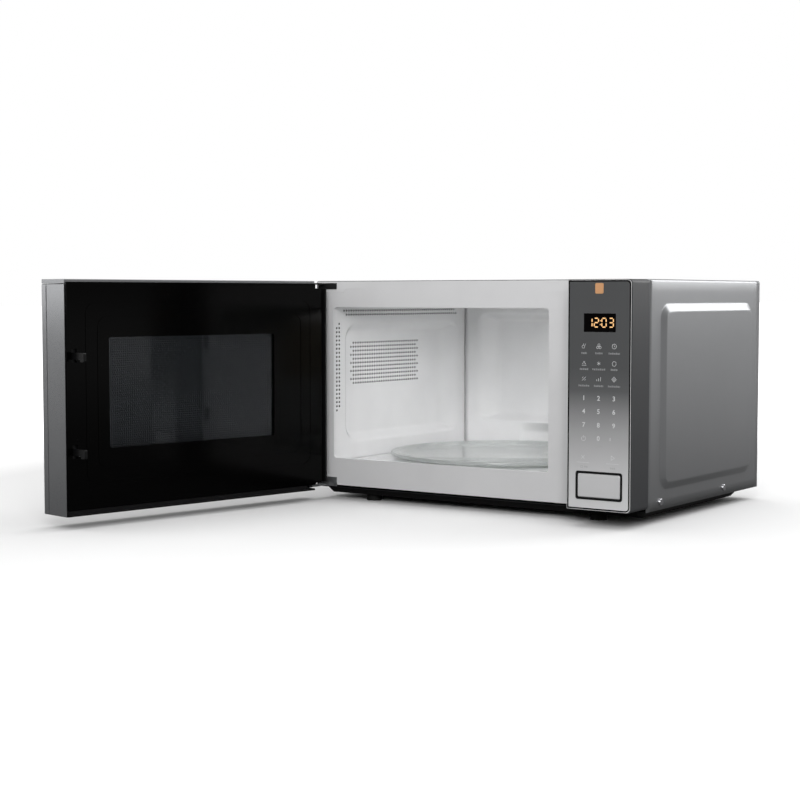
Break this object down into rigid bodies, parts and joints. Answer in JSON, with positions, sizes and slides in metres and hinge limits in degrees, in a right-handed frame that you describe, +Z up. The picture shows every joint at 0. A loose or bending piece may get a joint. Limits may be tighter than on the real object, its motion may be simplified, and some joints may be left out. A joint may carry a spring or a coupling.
{
  "type": "microwave oven",
  "caption": "Countertop microwave oven with a side-hinged door that swings open, a side control panel with a push button, and a round glass turntable in its cavity.",
  "frame": {"origin": "on the floor, at the centre of the pattern of the four feet", "axes": "+X to the right of a person facing the door, +Y from the door towards the back, +Z up"},
  "size_m": [0.5737, 0.7496, 0.286],
  "materials": {
    "casing_paint": "metallic powder coat, satin",
    "frame_paint": "smooth light grey enamel paint",
    "cavity_paint": "light grey oven enamel, low gloss",
    "tray_paint": "black powder coat",
    "galvanised": "plain zinc coated sheet",
    "spring_steel": "bright spring wire",
    "black_plastic": "moulded, fine texture",
    "door_black": "gloss black",
    "door_silver": "brushed, satin",
    "door_glass": "dark mirror-like glass",
    "window_glass": "clear film over the screen",
    "plate_glass": "clear pressed glass",
    "panel_face": "silver film with a dark fade at the top",
    "housing_grey": "satin dark grey",
    "button_silver": "satin silver",
    "badge_copper": "copper tone, satin",
    "display_black": "dark window over amber digits",
    "rubber": "matt",
    "chrome": "bright",
    "board": "solder-masked laminate",
    "mica": "pressed mica sheet",
    "iron": "laminated core",
    "copper_wire": "enamelled wire",
    "white_plastic": "heat-resistant moulding",
    "lamp_glass": "small clear bulb",
    "bare_aluminium": "thin plain fins"
  },
  "bodies": {
    "cabinet": {"base_tray": "tray_paint", "button_frame": "black_plastic", "button_spring": "spring_steel", "capacitor": "bare_aluminium", "cavity_back_wall": "cavity_paint", "cavity_ceiling": "cavity_paint", "cavity_floor": "cavity_paint", "cavity_lamp": "lamp_glass", "cavity_left_wall": "cavity_paint", "cavity_right_wall": "cavity_paint", "control_board": "board", "cord_gland": "black_plastic", "display_module": "display_black", "fan_motor": "iron", "fan_shroud": "galvanised", "feet": "rubber", "filter_box": "galvanised", "front_plate": "frame_paint", "high_voltage_diode": "black_plastic", "interlock_bracket": "white_plastic", "interlock_switches": "black_plastic", "lamp_holder": "white_plastic", "lower_hinge": "galvanised", "magnetron": "galvanised", "magnetron_fins": "bare_aluminium", "noise_filter_board": "board", "outer_casing": "casing_paint", "panel_badge": "badge_copper", "panel_face": "panel_face", "panel_housing": "housing_grey", "rear_panel": "galvanised", "screws": "chrome", "thermal_cutout": "white_plastic", "touch_key_foil": "black_plastic", "transformer_core": "iron", "transformer_windings": "copper_wire", "turntable_motor": "galvanised", "upper_hinge": "tray_paint", "waveguide": "galvanised", "waveguide_cover": "mica"},
    "door": {"door_bezel": "door_silver", "door_glass": "door_glass", "door_frame": "door_silver", "door_cap": "door_silver", "door_screen": "tray_paint", "door_inner_cover": "door_black", "door_window": "window_glass", "door_lower_trim": "black_plastic", "latch_spring": "spring_steel"},
    "latch": {"latch_bar": "black_plastic"},
    "release_button": {"release_button": "button_silver"},
    "release_lever": {"release_lever": "white_plastic"},
    "turntable_drive": {"turntable_shaft": "white_plastic", "turntable_coupler": "white_plastic"},
    "glass_plate": {"glass_plate": "plate_glass"},
    "roller_ring": {"roller_ring": "white_plastic"},
    "roller_1": {"roller_1": "white_plastic"},
    "roller_2": {"roller_2": "white_plastic"},
    "roller_3": {"roller_3": "white_plastic"},
    "fan": {"fan_wheel": "white_plastic"}
  },
  "joints": [
    {"name": "door_hinge", "type": "hinge", "parent": "cabinet", "child": "door", "pos_m": [-0.2311, -0.1653, 0.1506], "axis": [0, 0, 1], "range_deg": [0, 100.3]},
    {"name": "latch_slide", "type": "slide", "parent": "door", "child": "latch", "axis": [0, 0, 1], "range_m": [0, 0.0032], "stiffness_N_per_m": 400, "springref_m": -0.003, "deforming": ["latch_spring"]},
    {"name": "button_slide", "type": "slide", "parent": "cabinet", "child": "release_button", "axis": [0, 1, 0], "range_m": [0, 0.005], "stiffness_N_per_m": 500, "springref_m": -0.002, "deforming": ["button_spring"]},
    {"name": "lever_pivot", "type": "hinge", "parent": "cabinet", "child": "release_lever", "pos_m": [0.175, -0.1362, 0.075], "axis": [1, 0, 0], "range_deg": [0, 11.5]},
    {"name": "turntable_spin", "type": "hinge", "parent": "cabinet", "child": "turntable_drive", "pos_m": [-0.0514, 0.03, 0.04], "axis": [0, 0, 1], "continuous": true},
    {"name": "plate_lift", "type": "slide", "parent": "turntable_drive", "child": "glass_plate", "axis": [0, 0, 1], "range_m": [0, 0.012]},
    {"name": "ring_spin", "type": "hinge", "parent": "cabinet", "child": "roller_ring", "pos_m": [-0.0514, 0.03, 0.0416], "axis": [0, 0, 1], "continuous": true},
    {"name": "roller_1_spin", "type": "hinge", "parent": "roller_ring", "child": "roller_1", "pos_m": [-0.0514, 0.136, 0.0416], "axis": [0, 1, 0], "continuous": true},
    {"name": "roller_2_spin", "type": "hinge", "parent": "roller_ring", "child": "roller_2", "pos_m": [-0.1432, -0.023, 0.0416], "axis": [-0.866, -0.5, 0], "continuous": true},
    {"name": "roller_3_spin", "type": "hinge", "parent": "roller_ring", "child": "roller_3", "pos_m": [0.0404, -0.023, 0.0416], "axis": [0.866, -0.5, 0], "continuous": true},
    {"name": "fan_spin", "type": "hinge", "parent": "cabinet", "child": "fan", "pos_m": [0.1756, 0.154, 0.194], "axis": [0, 1, 0], "continuous": true}
  ],
  "couplings": [
    {"joint": "lever_pivot", "follows": "button_slide", "rad_per_m": 38.462},
    {"joint": "ring_spin", "follows": "turntable_spin", "ratio": 0.5},
    {"joint": "roller_1_spin", "follows": "turntable_spin", "ratio": -8.5484},
    {"joint": "roller_2_spin", "follows": "turntable_spin", "ratio": -8.5484},
    {"joint": "roller_3_spin", "follows": "turntable_spin", "ratio": -8.5484}
  ]
}
